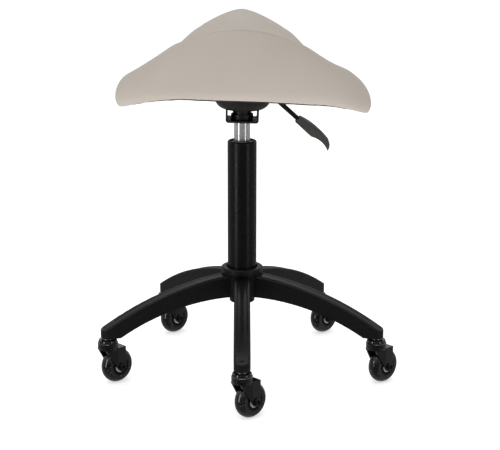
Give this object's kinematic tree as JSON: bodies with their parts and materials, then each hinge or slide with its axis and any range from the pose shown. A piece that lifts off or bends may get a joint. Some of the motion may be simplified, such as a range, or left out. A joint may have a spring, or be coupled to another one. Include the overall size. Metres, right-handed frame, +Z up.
{
  "type": "saddle stool",
  "caption": "Saddle stool: padded saddle seat on a gas lift with a side height lever, a star base and swivel casters",
  "frame": {"origin": "On the floor under the column's axis", "axes": "+Z up, +Y towards the seat's front horn, +X towards the height lever"},
  "size_m": [0.5168, 0.4925, 0.6216],
  "materials": {
    "base_plastic": "black glass-filled nylon, satin",
    "tube_paint": "black enamel, satin",
    "guide_plastic": "grey moulded",
    "bearing_steel": "ground",
    "zinc_steel": "bright zinc",
    "spring_steel": "dark spring temper",
    "caster_paint": "gloss black electrocoat",
    "bump_rubber": "matt",
    "chrome": "polished hard chrome",
    "press_paint": "brown-black enamel",
    "shell_plastic": "black moulded shell",
    "foam": "open-cell cushion foam",
    "upholstery": "greige coated fabric, fine grain",
    "dust_fabric": "black non-woven",
    "lever_paint": "black",
    "grip_plastic": "black, fine ribs",
    "axle_steel": "black oxide",
    "core_plastic": "black nylon",
    "wheel_tread": "smoky polyurethane, gloss"
  },
  "bodies": {
    "base": {"star_base": "base_plastic", "gas_tube": "tube_paint", "guide_bushing": "guide_plastic", "tube_foot": "bearing_steel", "bearing_washers": "bearing_steel", "bearing_balls": "bearing_steel", "caster_stems": "zinc_steel", "stem_rings": "spring_steel", "head_cups": "caster_paint", "head_balls": "bearing_steel"},
    "rod": {"piston_rod": "bearing_steel", "rod_circlip": "spring_steel", "bump_stop": "bump_rubber"},
    "seat": {"gas_cylinder": "chrome", "cylinder_seal": "guide_plastic", "cone_socket": "press_paint", "socket_stirrup": "press_paint", "mounting_bowl": "press_paint", "pivot_pin": "zinc_steel", "seat_shell": "shell_plastic", "tee_nuts": "zinc_steel", "seat_bolts": "zinc_steel", "seat_foam": "foam", "seat_cover": "upholstery", "rear_panel": "upholstery", "dust_cloth": "dust_fabric"},
    "lever": {"lever_rod": "lever_paint", "lever_grip": "grip_plastic"},
    "release": {"release_pin": "zinc_steel"},
    "caster_1": {"caster_fork_1": "caster_paint", "axle_bolt_1": "axle_steel", "axle_sleeve_1": "bearing_steel"},
    "wheel_1": {"wheel_core_1": "core_plastic", "wheel_bearings_1": "bearing_steel", "wheel_tyre_1": "wheel_tread"},
    "caster_2": {"caster_fork_2": "caster_paint", "axle_bolt_2": "axle_steel", "axle_sleeve_2": "bearing_steel"},
    "wheel_2": {"wheel_core_2": "core_plastic", "wheel_bearings_2": "bearing_steel", "wheel_tyre_2": "wheel_tread"},
    "caster_3": {"caster_fork_3": "caster_paint", "axle_bolt_3": "axle_steel", "axle_sleeve_3": "bearing_steel"},
    "wheel_3": {"wheel_core_3": "core_plastic", "wheel_bearings_3": "bearing_steel", "wheel_tyre_3": "wheel_tread"},
    "caster_4": {"caster_fork_4": "caster_paint", "axle_bolt_4": "axle_steel", "axle_sleeve_4": "bearing_steel"},
    "wheel_4": {"wheel_core_4": "core_plastic", "wheel_bearings_4": "bearing_steel", "wheel_tyre_4": "wheel_tread"},
    "caster_5": {"caster_fork_5": "caster_paint", "axle_bolt_5": "axle_steel", "axle_sleeve_5": "bearing_steel"},
    "wheel_5": {"wheel_core_5": "core_plastic", "wheel_bearings_5": "bearing_steel", "wheel_tyre_5": "wheel_tread"}
  },
  "joints": [
    {"name": "seat_swivel", "type": "hinge", "parent": "base", "child": "rod", "pos_m": [0, 0, 0.137], "axis": [0, 0, 1], "continuous": true},
    {"name": "seat_lift", "type": "slide", "parent": "rod", "child": "seat", "axis": [0, 0, 1], "range_m": [-0.012, 0.12]},
    {"name": "lever_tilt", "type": "hinge", "parent": "seat", "child": "lever", "pos_m": [0.03, 0, 0.4953], "axis": [0, -1, 0], "range_deg": [0, 8], "stiffness_Nm_per_rad": 8, "springref_deg": -2.86},
    {"name": "release_press", "type": "slide", "parent": "seat", "child": "release", "axis": [0, 0, -1], "range_m": [0, 0.0045]},
    {"name": "caster_swivel_1", "type": "hinge", "parent": "base", "child": "caster_1", "pos_m": [0, -0.242, 0.0655], "axis": [0, 0, 1], "continuous": true},
    {"name": "wheel_spin_1", "type": "hinge", "parent": "caster_1", "child": "wheel_1", "pos_m": [0.01316, -0.22972, 0.03], "axis": [-0.682, 0.7314, 0], "continuous": true},
    {"name": "caster_swivel_2", "type": "hinge", "parent": "base", "child": "caster_2", "pos_m": [0.23016, -0.07478, 0.0655], "axis": [0, 0, 1], "continuous": true},
    {"name": "wheel_spin_2", "type": "hinge", "parent": "caster_2", "child": "wheel_2", "pos_m": [0.24332, -0.06251, 0.03], "axis": [-0.682, 0.7314, 0], "continuous": true},
    {"name": "caster_swivel_3", "type": "hinge", "parent": "base", "child": "caster_3", "pos_m": [0.14224, 0.19578, 0.0655], "axis": [0, 0, 1], "continuous": true},
    {"name": "wheel_spin_3", "type": "hinge", "parent": "caster_3", "child": "wheel_3", "pos_m": [0.15541, 0.20806, 0.03], "axis": [-0.682, 0.7314, 0], "continuous": true},
    {"name": "caster_swivel_4", "type": "hinge", "parent": "base", "child": "caster_4", "pos_m": [-0.14224, 0.19578, 0.0655], "axis": [0, 0, 1], "continuous": true},
    {"name": "wheel_spin_4", "type": "hinge", "parent": "caster_4", "child": "wheel_4", "pos_m": [-0.12908, 0.20806, 0.03], "axis": [-0.682, 0.7314, 0], "continuous": true},
    {"name": "caster_swivel_5", "type": "hinge", "parent": "base", "child": "caster_5", "pos_m": [-0.23016, -0.07478, 0.0655], "axis": [0, 0, 1], "continuous": true},
    {"name": "wheel_spin_5", "type": "hinge", "parent": "caster_5", "child": "wheel_5", "pos_m": [-0.21699, -0.06251, 0.03], "axis": [-0.682, 0.7314, 0], "continuous": true}
  ],
  "couplings": [
    {"joint": "release_press", "follows": "lever_tilt", "m_per_rad": 0.03}
  ]
}
